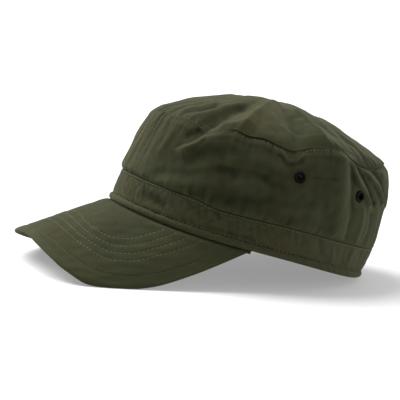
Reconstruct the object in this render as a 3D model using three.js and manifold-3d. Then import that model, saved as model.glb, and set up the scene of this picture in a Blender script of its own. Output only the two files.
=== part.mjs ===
import * as THREE from 'three';
import Module from 'manifold-3d';

// Driving sizes, in millimetres and degrees.
const BAND_LENGTH = 208; // outside of the band, front to back
const BAND_WIDTH = 168; // outside of the band, side to side
const BAND_HEIGHT = 24;
const BAND_WALL = 2.2;
const HEM_HEIGHT = 4.6; // rolled hem along the band's lower rim
const HEM_SWELL = 1.1;
const CROWN_HEIGHT = 85; // lower rim of the band to the top seam
const DOME_RISE = 20; // top seam to the middle of the top
const CLOTH = 1.6;
const SEAM_LAP = 6; // cloth turned in at the top seam and behind the band
const PEAK_LENGTH = 71; // along the middle of the peak
const PEAK_WRAP = 77; // from the centre front to the peak's end
const PEAK_SLOPE = 35;
const PEAK_WALL = 3;
const EYELET_RADIUS = 4.75;
const EYELET_HOLE = 2.25;
const EYELET_HEIGHT = 61; // above the band's lower rim
const EYELET_EASE = 0.5; // from the cloth's face to the ring's two flanges, as the cloth is curved
const GAP = 0.3; // between neighbouring pieces
const REST_FLAT = 0.5; // how far the band's cloth is pressed flat where it lies

// How finely each piece is divided.
const HALF_COLUMNS = 45;
const PEAK_COLUMNS = 22;
const EYELET_COLUMNS = 12;

const DEG = Math.PI / 180;
const HALF_LENGTH = BAND_LENGTH / 2;
const HALF_WIDTH = BAND_WIDTH / 2;

// Angles run from the centre front, in degrees. Lengths are shares of the named size.

// Where the eyelets sit round each side.
const EYELET_ANGLES = { side: 86, rear: 118 };
const EYELET_RISE = (EYELET_HEIGHT - BAND_HEIGHT) / (CROWN_HEIGHT - BAND_HEIGHT);

// Lift of the band's lower rim as a share of the band's height, and its swell as a share of half the length.
const RIM_WAVE = [
  { angle: 0, lift: 0, out: 0 },
  { angle: 45, lift: -0.05, out: 0 },
  { angle: 95, lift: 0.054, out: 0 },
  { angle: 140, lift: 0.01, out: -0.014 },
  { angle: 180, lift: 0.02, out: -0.03 },
];

// Height of the top seam, as a share of the crown's height.
const SEAM_WAVE = [
  { angle: 0, height: 0.9 },
  { angle: 12, height: 0.87 },
  { angle: 24, height: 0.876 },
  { angle: 33, height: 0.866 },
  { angle: 40, height: 0.825 },
  { angle: 47, height: 0.875 },
  { angle: 54, height: 0.925 },
  { angle: 61, height: 0.913 },
  { angle: 68, height: 0.932 },
  { angle: 76, height: 0.912 },
  { angle: 82, height: 0.91 },
  { angle: 89, height: 0.98 },
  { angle: 98, height: 1.03 },
  { angle: 105, height: 1.035 },
  { angle: 114, height: 0.985 },
  { angle: 124, height: 0.965 },
  { angle: 136, height: 1.0 },
  { angle: 147, height: 1.04 },
  { angle: 163, height: 1.045 },
  { angle: 180, height: 1.03 },
];

// The side's swell outside the band's oval, as a share of half the band's length.
const SIDE_SECTIONS = [
  { rise: 0, front: -0.015, side: 0.012, back: 0.022 },
  { rise: 0.07, front: 0, side: 0.024, back: 0.032 },
  { rise: 0.25, front: -0.015, side: 0.034, back: 0.034 },
  { rise: 0.45, front: -0.034, side: 0.03, back: 0.026 },
  { rise: 0.65, front: -0.054, side: 0.01, back: 0.01 },
  { rise: 0.82, front: -0.074, side: -0.024, back: -0.018 },
  { rise: 0.94, front: -0.094, side: -0.06, back: -0.062 },
  { rise: 1, front: -0.108, side: -0.082, back: -0.105 },
];

// The top's rise from its seam (reach 1) to its middle (reach 0), as a share of the dome.
const DOME_SECTIONS = [
  { reach: 0, front: 1, side: 1, back: 1 },
  { reach: 0.2, front: 0.96, side: 0.98, back: 1.03 },
  { reach: 0.38, front: 0.89, side: 0.92, back: 1.01 },
  { reach: 0.54, front: 0.75, side: 0.81, back: 0.87 },
  { reach: 0.68, front: 0.52, side: 0.66, back: 0.62 },
  { reach: 0.79, front: 0.32, side: 0.5, back: 0.41 },
  { reach: 0.88, front: 0.18, side: 0.33, back: 0.24 },
  { reach: 0.95, front: 0.08, side: 0.17, back: 0.12 },
  { reach: 1, front: 0, side: 0, back: 0 },
];

// The peak's edge: angle as a share of its wrap, reach as a share of its length.
const PEAK_EDGE = [
  { around: 1, reach: 0.06 },
  { around: 1, reach: 0.4 },
  { around: 0.995, reach: 0.65 },
  { around: 0.985, reach: 0.95 },
  { around: 0.962, reach: 1.1 },
  { around: 0.93, reach: 1.185 },
  { around: 0.88, reach: 1.26 },
  { around: 0.81, reach: 1.3 },
  { around: 0.73, reach: 1.3 },
  { around: 0.62, reach: 1.255 },
  { around: 0.52, reach: 1.21 },
  { around: 0.42, reach: 1.15 },
  { around: 0.28, reach: 1.075 },
  { around: 0.12, reach: 1.015 },
  { around: 0, reach: 1 },
];

// Folds in the sides: from and to are angle and rise; width and depth are shares of the crown's height.
const SIDE_FOLDS = [
  { from: [30, 0.55], to: [40, 1], width: 0.065, depth: 0.028 }, // main ridge under the top seam
  { from: [42, 0.95], to: [55, 0.6], width: 0.07, depth: -0.022 },
  { from: [24, 0.2], to: [68, 0.56], width: 0.055, depth: -0.016 }, // long soft creases along the side
  { from: [30, 0.08], to: [70, 0.42], width: 0.05, depth: 0.012 },
  { from: [46, 0.04], to: [76, 0.28], width: 0.05, depth: -0.014 },
  { from: [108, 1], to: [111, 0.12], width: 0.06, depth: 0.024 }, // upright roll behind the side eyelet
  { from: [117, 0.5], to: [119, 0.12], width: 0.05, depth: -0.02 },
  { from: [114, 1], to: [127, 0.62], width: 0.05, depth: 0.02 }, // slanting ribs at the back
  { from: [119, 0.95], to: [131, 0.5], width: 0.045, depth: -0.024 },
  { from: [123, 1], to: [139, 0.62], width: 0.05, depth: 0.022 },
  { from: [131, 0.95], to: [147, 0.6], width: 0.05, depth: -0.018 },
  { from: [124, 0.5], to: [130, 0.12], width: 0.06, depth: 0.018 },
];

// Folds in the top: from and to are shares of the band's half width and half length.
const TOP_FOLDS = [
  { from: [0.64, -0.58], to: [0.5, -0.4], width: 0.07, depth: 0.034 }, // main ridge up from the seam
  { from: [0.5, -0.4], to: [0.16, -0.2], width: 0.07, depth: 0.026 },
  { from: [0.52, -0.68], to: [0.28, -0.42], width: 0.075, depth: -0.032 },
  { from: [0.26, -0.82], to: [0.21, -0.66], width: 0.045, depth: 0.015 },
  { from: [0.38, -0.76], to: [0.33, -0.52], width: 0.045, depth: 0.015 },
  { from: [0.3, 0.1], to: [0.78, 0.26], width: 0.07, depth: 0.028 }, // ridge across the back half
  { from: [0.88, -0.06], to: [0.45, -0.04], width: 0.075, depth: -0.026 },
  { from: [0.72, 0.46], to: [0.4, 0.34], width: 0.07, depth: -0.024 },
];

// A smooth value between the rows of a table.
function follow(rows, key, column, at) {
  const last = rows.length - 1;
  const x = Math.min(Math.max(at, rows[0][key]), rows[last][key]);
  let i = 0;
  while (i < last - 1 && rows[i + 1][key] < x) i += 1;
  const slope = (j) => {
    const a = rows[Math.max(j - 1, 0)];
    const b = rows[Math.min(j + 1, last)];
    return (b[column] - a[column]) / (b[key] - a[key]);
  };
  const step = rows[i + 1][key] - rows[i][key];
  const s = (x - rows[i][key]) / step;
  const start = rows[i][column];
  const end = rows[i + 1][column];
  const rise = end - start;
  const bend = s * (1 - s) * ((1 - s) * (slope(i) * step - rise) - s * (slope(i + 1) * step - rise));
  return start + s * rise + bend;
}

// A point on the band's oval, moved outwards and up. Positive angles are on the wearer's left.
function ovalPoint(angle, out, height) {
  const across = Math.sin(angle);
  const along = Math.cos(angle);
  const normal = new THREE.Vector2(HALF_LENGTH * across, -HALF_WIDTH * along).normalize();
  const x = HALF_WIDTH * across + normal.x * out;
  const y = -HALF_LENGTH * along + normal.y * out;
  return new THREE.Vector3(x, y, height);
}

// How far the band stands outside the oval at a share of its height.
function bandSwell(angle, share) {
  const head = sideSwell(angle, 0) - HALF_LENGTH * 0.004;
  return rimSwell(angle) * (1 - share) + head * share;
}

function rimHeight(angle) {
  return BAND_HEIGHT * follow(RIM_WAVE, 'angle', 'lift', Math.abs(angle) / DEG);
}

function rimSwell(angle) {
  return HALF_LENGTH * follow(RIM_WAVE, 'angle', 'out', Math.abs(angle) / DEG);
}

function seamHeight(angle) {
  return CROWN_HEIGHT * follow(SEAM_WAVE, 'angle', 'height', Math.abs(angle) / DEG);
}

// A table's value at an angle, blended from its front, side and back columns.
function blend(rows, key, at, angle) {
  const c = Math.cos(angle);
  const ends = follow(rows, key, c > 0 ? 'front' : 'back', at);
  return follow(rows, key, 'side', at) * (1 - c * c) + ends * c * c;
}

// How far the side stands outside the oval at a share of its rise.
function sideSwell(angle, rise) {
  return HALF_LENGTH * blend(SIDE_SECTIONS, 'rise', rise, angle);
}

// The push of a table of folds at a place, both in millimetres.
function foldPush(folds, place) {
  let push = 0;
  for (const fold of folds) {
    const line = new THREE.Line3(fold.start, fold.end);
    const near = new THREE.Vector3();
    line.closestPointToPoint(place, true, near);
    push += fold.push * Math.exp(-((near.distanceTo(place) / fold.width) ** 2));
  }
  return push;
}

function unrolled(degrees, rise) {
  return new THREE.Vector3(HALF_LENGTH * degrees * DEG, CROWN_HEIGHT * rise, 0);
}

const sideFolds = SIDE_FOLDS.map((row) => ({
  start: unrolled(row.from[0], row.from[1]),
  end: unrolled(row.to[0], row.to[1]),
  width: CROWN_HEIGHT * row.width,
  push: CROWN_HEIGHT * row.depth,
}));

const topFolds = TOP_FOLDS.map((row) => ({
  start: new THREE.Vector3(HALF_WIDTH * row.from[0], HALF_LENGTH * row.from[1], 0),
  end: new THREE.Vector3(HALF_WIDTH * row.to[0], HALF_LENGTH * row.to[1], 0),
  width: CROWN_HEIGHT * row.width,
  push: CROWN_HEIGHT * row.depth,
}));

// A point on the outside of the side panel.
function sidePoint(angle, rise, inward = 0) {
  const foot = BAND_HEIGHT + rimHeight(angle) + GAP;
  const height = foot + rise * (seamHeight(angle) - foot);
  const place = unrolled(Math.abs(angle) / DEG, rise);
  let calm = Math.sin(Math.PI * Math.min(rise, 1));
  for (const degrees of Object.values(EYELET_ANGLES)) {
    const away = place.distanceTo(unrolled(degrees, EYELET_RISE)) / (2.2 * EYELET_RADIUS);
    calm *= 1 - Math.exp(-(away ** 4));
  }
  const push = foldPush(sideFolds, place) * calm;
  return ovalPoint(angle, sideSwell(angle, rise) + push - inward, height);
}

// A point on the top; reach 0 is the middle and 1 the seam.
function topPoint(angle, reach, drop = 0) {
  const seam = ovalPoint(angle, sideSwell(angle, 1), 0);
  const middle = new THREE.Vector3(0, (sideSwell(Math.PI, 1) - sideSwell(0, 1)) / 2, 0);
  const place = middle.lerp(seam, reach);
  const base = CROWN_HEIGHT + (seamHeight(angle) - CROWN_HEIGHT) * reach ** 3;
  const rise = DOME_RISE * blend(DOME_SECTIONS, 'reach', reach, angle);
  const push = foldPush(topFolds, place.clone().setX(Math.abs(place.x))) * (1 - reach ** 6);
  return place.setZ(base + GAP + CLOTH + rise + push - drop);
}

// A closed body from loops of points. An open run gets an end face at each end: a fan, or cut to its outline.
function loft(loops, ends) {
  const closed = ends === 'joined';
  const count = loops[0].length;
  const points = loops.flat();
  const faces = [];
  const spans = closed ? loops.length : loops.length - 1;
  for (let i = 0; i < spans; i += 1) {
    const a = i * count;
    const b = ((i + 1) % loops.length) * count;
    for (let j = 0; j < count; j += 1) {
      const k = (j + 1) % count;
      faces.push([a + j, b + j, b + k], [a + j, b + k, a + k]);
    }
  }
  if (ends === 'fan') {
    for (const [index, flip] of [[0, false], [loops.length - 1, true]]) {
      const middle = new THREE.Vector3();
      loops[index].forEach((p) => middle.addScaledVector(p, 1 / count));
      points.push(middle);
      for (let j = 0; j < count; j += 1) {
        const a = index * count + j;
        const b = index * count + ((j + 1) % count);
        faces.push(flip ? [points.length - 1, b, a] : [points.length - 1, a, b]);
      }
    }
  }
  if (ends === 'outline') {
    for (const [index, flip] of [[0, false], [loops.length - 1, true]]) {
      const flat = flatten(loops[index]);
      for (const [p, q, r] of THREE.ShapeUtils.triangulateShape(flat, [])) {
        const shift = index * count;
        faces.push(flip ? [shift + p, shift + r, shift + q] : [shift + p, shift + q, shift + r]);
      }
    }
  }
  return body(points, faces);
}

// The points of an end loop, laid in its own plane and turned anticlockwise.
function flatten(loop) {
  const far = loop.reduce((best, p) => (p.distanceTo(loop[0]) > best.distanceTo(loop[0]) ? p : best));
  const normal = new THREE.Vector3();
  loop.forEach((p, i) => {
    const q = loop[(i + 1) % loop.length];
    normal.add(new THREE.Vector3().crossVectors(p, q));
  });
  normal.normalize();
  const u = far.clone().sub(loop[0]);
  u.addScaledVector(normal, -u.dot(normal)).normalize();
  const v = new THREE.Vector3().crossVectors(normal, u);
  return loop.map((p) => new THREE.Vector2(p.dot(u), p.dot(v)));
}

// A geometry whose faces look outwards.
function body(points, faces) {
  let volume = 0;
  for (const [a, b, c] of faces) {
    volume += points[a].dot(new THREE.Vector3().crossVectors(points[b], points[c]));
  }
  const index = faces.flatMap(([a, b, c]) => (volume > 0 ? [a, b, c] : [a, c, b]));
  const geometry = new THREE.BufferGeometry();
  const places = points.flatMap((p) => [p.x, p.y, p.z]);
  geometry.setAttribute('position', new THREE.Float32BufferAttribute(places, 3));
  geometry.setIndex(index);
  return geometry;
}

// The band: a loop round the head with a rolled hem at its foot.
function bandGeometry() {
  const loops = [];
  for (let i = 0; i < 2 * HALF_COLUMNS; i += 1) {
    const angle = (Math.PI * i) / HALF_COLUMNS;
    const turned = angle > Math.PI ? angle - 2 * Math.PI : angle;
    const foot = rimHeight(turned);
    const head = foot + BAND_HEIGHT;
    const low = rimSwell(turned);
    const at = (share) => bandSwell(turned, share);
    const hem = HEM_HEIGHT / BAND_HEIGHT;
    loops.push([
      ovalPoint(turned, low - BAND_WALL + 0.5, foot),
      ovalPoint(turned, low, foot),
      ovalPoint(turned, low + HEM_SWELL, foot + HEM_HEIGHT * 0.3),
      ovalPoint(turned, low + HEM_SWELL * 0.9, foot + HEM_HEIGHT * 0.75),
      ovalPoint(turned, at(hem), foot + HEM_HEIGHT),
      ovalPoint(turned, at(0.6) + 0.5, foot + BAND_HEIGHT * 0.6),
      ovalPoint(turned, at(1) - 0.4, head),
      ovalPoint(turned, at(1) - BAND_WALL, head),
      ovalPoint(turned, at(0.5) - BAND_WALL, foot + BAND_HEIGHT * 0.5),
      ovalPoint(turned, low - BAND_WALL, foot + HEM_HEIGHT * 0.4),
    ]);
  }
  return loft(loops, 'joined');
}

// One side panel, its lower edge tucked behind the band and its upper edge turned in under the top.
function sideGeometry(hand) {
  const loops = [];
  const start = GAP / 2 / HALF_WIDTH;
  const outer = [0, 0.07, 0.17, 0.28, 0.4, 0.52, 0.64, 0.76, 0.87, 0.95, 1];
  const inner = [0.93, 0.78, 0.6, 0.4, 0.2, 0.05];
  for (let i = 0; i <= HALF_COLUMNS; i += 1) {
    const angle = hand * (start + ((Math.PI - 2 * start) * i) / HALF_COLUMNS);
    const foot = BAND_HEIGHT + rimHeight(angle);
    const behind = bandSwell(angle, 1) - BAND_WALL - GAP;
    const below = bandSwell(angle, 1 - SEAM_LAP / BAND_HEIGHT) - BAND_WALL - GAP;
    const rim = sideSwell(angle, 1);
    const seam = seamHeight(angle);
    loops.push([
      ovalPoint(angle, below - CLOTH, foot - SEAM_LAP),
      ovalPoint(angle, below, foot - SEAM_LAP),
      ovalPoint(angle, behind, foot + GAP),
      ...outer.map((rise) => sidePoint(angle, rise)),
      ovalPoint(angle, rim - SEAM_LAP, seam),
      ovalPoint(angle, rim - SEAM_LAP, seam - CLOTH * 0.8),
      ...inner.map((rise) => sidePoint(angle, rise, CLOTH)),
      ovalPoint(angle, behind - CLOTH, foot + 1.5 * CLOTH),
    ]);
  }
  return loft(loops, 'outline');
}

// The domed top.
function topGeometry() {
  const outer = [0.1, 0.22, 0.36, 0.5, 0.63, 0.74, 0.83, 0.9, 0.955, 0.99];
  const inner = [0.97, 0.87, 0.7, 0.45, 0.2];
  const columns = 2 * HALF_COLUMNS;
  const points = [topPoint(0, 0), topPoint(0, 0, CLOTH)];
  for (let i = 0; i < columns; i += 1) {
    const turn = (Math.PI * i) / HALF_COLUMNS;
    const angle = turn > Math.PI ? turn - 2 * Math.PI : turn;
    const edge = ovalPoint(angle, sideSwell(angle, 1) + 0.7, seamHeight(angle) + GAP + CLOTH * 0.55);
    const lip = ovalPoint(angle, sideSwell(angle, 1), seamHeight(angle) + GAP);
    const fold = ovalPoint(angle, sideSwell(angle, 1) - CLOTH, seamHeight(angle) + GAP);
    points.push(...outer.map((reach) => topPoint(angle, reach)));
    points.push(edge, lip, fold);
    points.push(...inner.map((reach) => topPoint(angle, reach, CLOTH * (reach > 0.9 ? 1.35 : 1.1))));
  }
  const count = outer.length + 3 + inner.length;
  const faces = [];
  for (let i = 0; i < columns; i += 1) {
    const a = 2 + i * count;
    const b = 2 + ((i + 1) % columns) * count;
    faces.push([0, a, b], [1, b + count - 1, a + count - 1]);
    for (let j = 0; j < count - 1; j += 1) {
      faces.push([a + j, a + j + 1, b + j + 1], [a + j, b + j + 1, b + j]);
    }
  }
  return body(points, faces);
}

// A place on the peak: along its root by angle, then out by reach, then down through its wall.
function peakPoint(angle, reach, depth) {
  const slope = PEAK_SLOPE * DEG;
  const root = ovalPoint(angle, 0, rimHeight(angle) - GAP);
  const normal = new THREE.Vector3(
    HALF_LENGTH * Math.sin(angle) * Math.sin(slope),
    -HALF_WIDTH * Math.cos(angle) * Math.sin(slope),
    HALF_WIDTH * Math.cos(angle) * Math.cos(slope),
  ).normalize();
  root.y -= reach * Math.cos(slope);
  root.z -= reach * Math.sin(slope);
  return root.addScaledVector(normal, -depth);
}

// The peak: lines run from its root under the band to its edge.
function peakGeometry() {
  const wrap = PEAK_WRAP * DEG;
  const rows = PEAK_EDGE.map(
    (row) => new THREE.Vector2(row.around * wrap * HALF_LENGTH, row.reach * PEAK_LENGTH),
  );
  const edge = new THREE.SplineCurve(rows);
  const loops = [];
  for (let i = -PEAK_COLUMNS; i <= PEAK_COLUMNS; i += 1) {
    const hand = Math.sign(i);
    const share = 1 - Math.abs(i) / PEAK_COLUMNS;
    const root = new THREE.Vector2(wrap * HALF_LENGTH * (1 - share), 0);
    const tip = edge.getPointAt(share);
    if (i === 0) tip.x = 0;
    const roll = Math.min(1.3 / root.distanceTo(tip), 0.4);
    const at = (f, depth) => {
      const spot = root.clone().lerp(tip, f);
      return peakPoint((hand * spot.x) / HALF_LENGTH, spot.y + 0.5 * (1 - f), depth);
    };
    const angle = (hand * root.x) / HALF_LENGTH;
    const under = rimHeight(angle) - GAP;
    loops.push([
      ovalPoint(angle, -BAND_WALL, under),
      ovalPoint(angle, -0.2, under),
      at(0.04, 0),
      at(0.3 * (1 - roll), 0),
      at(0.55 * (1 - roll), 0),
      at(0.78 * (1 - roll), 0),
      at(1 - roll, 0),
      at(1, PEAK_WALL * 0.3),
      at(1, PEAK_WALL * 0.7),
      at(1 - roll, PEAK_WALL),
      at(0.7 * (1 - roll), PEAK_WALL),
      at(0.4 * (1 - roll), PEAK_WALL),
      at(0.1 * (1 - roll), PEAK_WALL),
      ovalPoint(angle, -BAND_WALL - 0.4, under - PEAK_WALL * 0.9),
    ]);
  }
  return loft(loops, 'fan');
}

// Where an eyelet sits in the side, with its axis square to the cloth.
function eyeletFrame(angle) {
  const foot = BAND_HEIGHT + rimHeight(angle) + GAP;
  const rise = (EYELET_HEIGHT - foot) / (seamHeight(angle) - foot);
  const spot = sidePoint(angle, rise);
  const step = 0.04;
  const along = sidePoint(angle + step, rise).sub(sidePoint(angle - step, rise));
  const up = sidePoint(angle, rise + step).sub(sidePoint(angle, rise - step));
  const axis = new THREE.Vector3().crossVectors(along, up).normalize();
  const turn = new THREE.Quaternion().setFromUnitVectors(new THREE.Vector3(0, 1, 0), axis);
  return new THREE.Matrix4().compose(spot, turn, new THREE.Vector3(1, 1, 1));
}

// A metal ring clinched through the cloth.
function eyeletGeometry(angle) {
  const barrel = EYELET_HOLE + 0.6;
  const under = -CLOTH - EYELET_EASE;
  const profile = [
    [EYELET_HOLE, under - 0.6],
    [EYELET_RADIUS - 1, under - 0.6],
    [EYELET_RADIUS - 1, under],
    [barrel, under],
    [barrel, EYELET_EASE],
    [EYELET_RADIUS, EYELET_EASE],
    [EYELET_RADIUS, EYELET_EASE + 0.4],
    [EYELET_RADIUS - 0.9, EYELET_EASE + 0.85],
    [EYELET_HOLE + 0.5, EYELET_EASE + 0.8],
    [EYELET_HOLE, EYELET_EASE + 0.3],
    [EYELET_HOLE, under - 0.6],
  ].map(([r, h]) => new THREE.Vector2(r, h));
  return new THREE.LatheGeometry(profile, EYELET_COLUMNS).applyMatrix4(eyeletFrame(angle));
}

const wasm = await Module();
wasm.setup();

// A solid for cutting, with shared corners joined.
function solidOf(geometry) {
  const position = geometry.getAttribute('position');
  const seen = new Map();
  const corners = [];
  const same = [];
  for (let i = 0; i < position.count; i += 1) {
    const corner = [position.getX(i), position.getY(i), position.getZ(i)];
    const key = corner.map((v) => Math.round(v * 1e4)).join(' ');
    if (!seen.has(key)) {
      seen.set(key, corners.length / 3);
      corners.push(...corner);
    }
    same.push(seen.get(key));
  }
  const index = Array.from(geometry.index.array, (i) => same[i]);
  const faces = [];
  for (let i = 0; i < index.length; i += 3) {
    const [a, b, c] = index.slice(i, i + 3);
    if (a !== b && b !== c && c !== a) faces.push(a, b, c);
  }
  const mesh = new wasm.Mesh({
    numProp: 3,
    vertProperties: new Float32Array(corners),
    triVerts: new Uint32Array(faces),
  });
  return new wasm.Manifold(mesh);
}

function geometryOf(solid) {
  const mesh = solid.getMesh();
  const geometry = new THREE.BufferGeometry();
  geometry.setAttribute('position', new THREE.BufferAttribute(new Float32Array(mesh.vertProperties), 3));
  geometry.setIndex(new THREE.BufferAttribute(new Uint32Array(mesh.triVerts), 1));
  return geometry;
}

// A side panel with its eyelet holes cut.
function piercedSide(hand) {
  let solid = solidOf(sideGeometry(hand));
  for (const degrees of Object.values(EYELET_ANGLES)) {
    const bore = EYELET_HOLE + 0.6 + GAP;
    const punch = new THREE.CylinderGeometry(bore, bore, 16, EYELET_COLUMNS);
    punch.applyMatrix4(eyeletFrame(hand * degrees * DEG));
    solid = solid.subtract(solidOf(punch));
  }
  return geometryOf(solid);
}

// The cap leans back until it lies on the peak's side edges and the back of the band.
function lowest(geometry, lean) {
  const position = geometry.getAttribute('position');
  let low = Infinity;
  for (let i = 0; i < position.count; i += 1) {
    low = Math.min(low, position.getZ(i) * Math.cos(lean) - position.getY(i) * Math.sin(lean));
  }
  return low;
}

function restLean(band, peak) {
  let low = 0;
  let high = 40 * DEG;
  for (let i = 0; i < 40; i += 1) {
    const lean = (low + high) / 2;
    if (lowest(band, lean) + REST_FLAT > lowest(peak, lean)) low = lean;
    else high = lean;
  }
  return (low + high) / 2;
}

const olive = new THREE.MeshStandardMaterial({ color: 0x5a5c46, roughness: 0.95, metalness: 0 });
const oliveDark = new THREE.MeshStandardMaterial({ color: 0x50523f, roughness: 0.95, metalness: 0 });
const blackMetal = new THREE.MeshStandardMaterial({ color: 0x16171a, roughness: 0.4, metalness: 0.8 });

const bandShape = bandGeometry();
const peakShape = peakGeometry();
const lean = restLean(bandShape, peakShape);

const pieces = [
  ['crown_top', topGeometry(), olive],
  ['crown_side_left', piercedSide(1), olive],
  ['crown_side_right', piercedSide(-1), olive],
  ['band', bandShape, oliveDark],
  ['peak', peakShape, olive],
];
for (const [name, degrees] of Object.entries(EYELET_ANGLES)) {
  pieces.push([`eyelet_left_${name}`, eyeletGeometry(degrees * DEG), blackMetal]);
  pieces.push([`eyelet_right_${name}`, eyeletGeometry(-degrees * DEG), blackMetal]);
}

// Lean the cap back, set it on the floor and centre its outline on the origin.
const pose = new THREE.Matrix4().makeRotationX(-lean);
const bounds = new THREE.Box3();
for (const [, geometry] of pieces) {
  geometry.applyMatrix4(pose);
  geometry.computeBoundingBox();
  bounds.union(geometry.boundingBox);
}
peakShape.computeBoundingBox();
const centre = bounds.getCenter(new THREE.Vector3());
const settle = new THREE.Matrix4().makeTranslation(-centre.x, -centre.y, -peakShape.boundingBox.min.z);

const group = new THREE.Group();
group.name = 'patrol_cap';
for (const [name, geometry, material] of pieces) {
  geometry.applyMatrix4(settle);
  let shape = geometry;
  if (name === 'band') {
    const floor = new THREE.BoxGeometry(4 * BAND_LENGTH, 4 * BAND_LENGTH, 40).translate(0, 0, -20);
    shape = geometryOf(solidOf(geometry).subtract(solidOf(floor)));
  }
  const mesh = new THREE.Mesh(shape, material.clone());
  mesh.name = name;
  group.add(mesh);
}

export default group;
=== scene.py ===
import math
import bmesh
import bpy
import numpy as np
from mathutils import Matrix, Vector


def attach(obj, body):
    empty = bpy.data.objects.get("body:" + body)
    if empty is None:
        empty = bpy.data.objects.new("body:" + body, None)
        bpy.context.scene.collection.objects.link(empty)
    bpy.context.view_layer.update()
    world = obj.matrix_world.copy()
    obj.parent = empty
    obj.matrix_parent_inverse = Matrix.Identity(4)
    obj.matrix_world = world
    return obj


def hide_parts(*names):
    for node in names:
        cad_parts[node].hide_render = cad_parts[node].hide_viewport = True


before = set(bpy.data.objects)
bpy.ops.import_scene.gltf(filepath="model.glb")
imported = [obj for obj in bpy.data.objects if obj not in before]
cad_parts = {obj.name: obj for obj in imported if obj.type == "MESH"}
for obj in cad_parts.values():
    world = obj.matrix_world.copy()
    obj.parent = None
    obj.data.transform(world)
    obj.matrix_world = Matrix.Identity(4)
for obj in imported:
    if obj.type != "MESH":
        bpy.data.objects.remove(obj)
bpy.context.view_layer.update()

# Sizes in millimetres, before the cap leans back on the floor. A and B are the half length and half width of
# the band's oval. The tables' angles are in degrees round it, from the middle of the front.
A, B = 104.0, 84.0
BAND, CROWN, DOME = 24.0, 85.0, 20.0
PEAK, WRAP, SLOPE = 71.0, math.radians(77), math.radians(35)
LEAN = math.radians(14.10658577)
SETTLE = np.array([0.0, 24.479767, 23.632246])
EYELETS = {"side": 86.0, "rear": 118.0}
EYELET_HEIGHT = 61.0
# the gap between two cloth pieces, and how thick the cloth of each is
GAP = 0.3
SIDE_WALL, TOP_WALL, PEAK_WALL = 1.6, 1.8, 3.0
# how far in and down the cloth of the sides turns under the top
LAP, LAP_DROP = 6.0, 1.3
# how far the side's lower edge reaches behind the band
TUCK_IN, TUCK_DOWN = 2.5, 6.0
# the oval's mean radius, the length of a degree, and the height that a rise of 1 stands for in SIDE_FOLDS
MEAN_RADIUS = 94.0
DEGREE = A * math.pi / 180
FOLD_RISE = 60.0
# how far from the middle seams the stitch rows beside them run, and the oval's radius there
SEAM_ROW, SEAM_RADIUS = 11.5, 90.0
# how many degrees the far side's folds stand off, so that the two sides aren't mirror images
FAR_SHIFT = 1.5

# angle, lift and outward push of the band's lower rim
RIM = [(0, 0, 0), (45, -1.2, 0), (95, 1.296, 0), (140, 0.24, -1.456), (180, 0.48, -3.12)]
# angle, height of the top seam, outward push of the seam
SEAM = [
    (0, 0.9, 0), (12, 0.87, 0), (24, 0.876, 0.5), (33, 0.866, -1.0), (40, 0.825, -2.2), (47, 0.875, 2.0),
    (54, 0.925, 0.8), (61, 0.913, 0), (68, 0.932, 0.4), (76, 0.912, -0.4), (82, 0.91, -1.0), (89, 0.98, 0),
    (98, 1.03, 0.6), (105, 1.035, 1.6), (114, 0.985, -0.6), (124, 0.965, -0.8), (136, 1.0, 0.4),
    (147, 1.04, 0), (163, 1.045, 0), (180, 1.03, 0),
]
# angle, and how deep the seam's crease is
SEAM_DEPTH = [
    (0, 0.1), (20, 0), (40, 0), (48, 0), (52, 0.2), (58, 0.9), (74, 1), (82, 0.5), (90, 0.15), (104, 0.2),
    (116, 1), (180, 0.8),
]
# angle, and how far the band's upper edge sags
BAND_TOP = [
    (0, 0), (30, 0), (48, -0.3), (56, -2.3), (60, -2.6), (70, -2.1), (85, -1.4), (105, -0.8), (130, 0),
    (180, 0),
]
# angle, and how far below the seam its stitches run
STITCH_DROP = [(0, 1.3), (60, 1.5), (75, 1.8), (90, 1.5), (120, 1.5), (180, 2.4)]
# rise, and the side's swell at the front, side and back
SIDE = [
    (0, -0.015, 0.012, 0.022), (0.07, 0, 0.024, 0.032), (0.25, -0.015, 0.034, 0.034),
    (0.45, -0.034, 0.03, 0.026), (0.65, -0.054, 0.01, 0.01), (0.82, -0.074, -0.024, -0.018),
    (0.94, -0.094, -0.06, -0.062), (1, -0.108, -0.082, -0.105),
]
# reach, and the dome's rise at the front, side and back
TOP = [
    (0, 1, 1, 1), (0.2, 0.96, 0.98, 1.03), (0.38, 0.89, 0.92, 1.01), (0.54, 0.75, 0.81, 0.87),
    (0.68, 0.52, 0.66, 0.62), (0.79, 0.32, 0.5, 0.41), (0.88, 0.18, 0.33, 0.24), (0.95, 0.08, 0.17, 0.12),
    (1, 0, 0, 0),
]
# the middle of the top along the cap, and how far the dome's foot stands over the seam
TOP_MIDDLE = A * (-0.105 + 0.108) / 2
DOME_FOOT = 1.4
# the peak's edge, from its end to its middle: share of wrap, share of length
EDGE = [
    (1, 0.06), (1.014, 0.4), (1.018, 0.65), (1.006, 0.95), (0.975, 1.1), (0.93, 1.185), (0.87, 1.25),
    (0.8, 1.285), (0.73, 1.3), (0.62, 1.255), (0.52, 1.21), (0.42, 1.15), (0.28, 1.075), (0.12, 1.015),
    (0, 1),
]

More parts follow.
